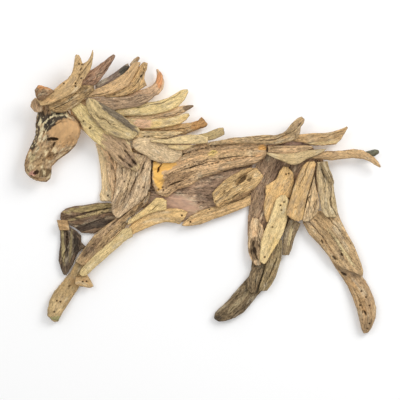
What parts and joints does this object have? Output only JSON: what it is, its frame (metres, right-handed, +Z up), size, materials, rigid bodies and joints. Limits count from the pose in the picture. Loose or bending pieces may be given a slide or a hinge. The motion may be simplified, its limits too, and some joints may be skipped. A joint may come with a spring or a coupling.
{
  "type": "driftwood horse sculpture",
  "caption": "Galloping horse in shallow relief, built up from weathered driftwood boards, splinters and sticks, to hang flat on a wall.",
  "frame": {"origin": "on the wall plane, on the flat back of the barrel board behind the middle of the body", "axes": "-X towards the muzzle, the way the horse runs; +Y into the wall; +Z up; the viewer is at -Y"},
  "size_m": [1, 0.0833, 0.7945],
  "materials": {
    "tan_wood": "tan weathered driftwood, dry and matt",
    "grey_brown_wood": "grey-brown weathered driftwood, rough grain",
    "red_brown_wood": "dark red-brown driftwood, rough grain",
    "olive_wood": "olive-brown weathered driftwood",
    "slate_wood": "dark slate-grey driftwood, rough grain",
    "orange_wood": "orange-brown driftwood, dry and matt",
    "pale_wood": "pale yellow weathered driftwood, dry and matt",
    "charred_wood": "almost black, charred-looking driftwood"
  },
  "bodies": {
    "root": {"head": "tan_wood", "ear_fork": "tan_wood", "forelock_knob": "grey_brown_wood", "brow_stub": "red_brown_wood", "forehead_bar": "olive_wood", "mane_red_spike": "red_brown_wood", "mane_slate": "slate_wood", "mane_splinter": "tan_wood", "mane_wide_tan": "tan_wood", "mane_rough": "tan_wood", "mane_hook": "orange_wood", "mane_grey_brown": "grey_brown_wood", "mane_yellow": "pale_wood", "mane_dark_tipped": "grey_brown_wood", "mane_pink_based": "pale_wood", "mane_flared": "orange_wood", "mane_brown_splinter": "grey_brown_wood", "mane_square_ended": "olive_wood", "mane_long_pale": "pale_wood", "mane_short_tip": "pale_wood", "withers_slab": "tan_wood", "neck_leaf": "olive_wood", "neck_plank": "pale_wood", "chest_strip": "tan_wood", "neck_board": "grey_brown_wood", "shoulder_board": "tan_wood", "near_forearm": "grey_brown_wood", "near_leg_pale_strip": "pale_wood", "fetlock_spur": "orange_wood", "near_cannon_and_hoof": "tan_wood", "far_forearm": "charred_wood", "far_knee_chip": "orange_wood", "far_cannon": "charred_wood", "barrel_board": "grey_brown_wood", "breast_block": "pale_wood", "belly_front_strip": "tan_wood", "belly_tan_strip": "tan_wood", "flank_slat": "tan_wood", "back_board": "grey_brown_wood", "back_ridge": "tan_wood", "tail_upper": "orange_wood", "croup_dark_strip": "red_brown_wood", "croup_tan_strip": "tan_wood", "rump_boat": "pale_wood", "tail_long": "orange_wood", "tail_dark_tip": "slate_wood", "haunch_board": "red_brown_wood", "thigh_glove": "tan_wood", "thigh_blade": "pale_wood", "stifle_piece": "tan_wood", "thigh_centre_plank": "tan_wood", "thigh_rear_plank": "tan_wood", "buttock_board": "tan_wood", "buttock_chip": "olive_wood", "far_hind_thigh": "tan_wood", "far_hind_cannon_and_hoof": "tan_wood", "gaskin_left": "grey_brown_wood", "gaskin_right": "grey_brown_wood", "gaskin_rear_slip": "grey_brown_wood", "near_hind_cannon_and_hoof": "grey_brown_wood"}
  },
  "joints": []
}
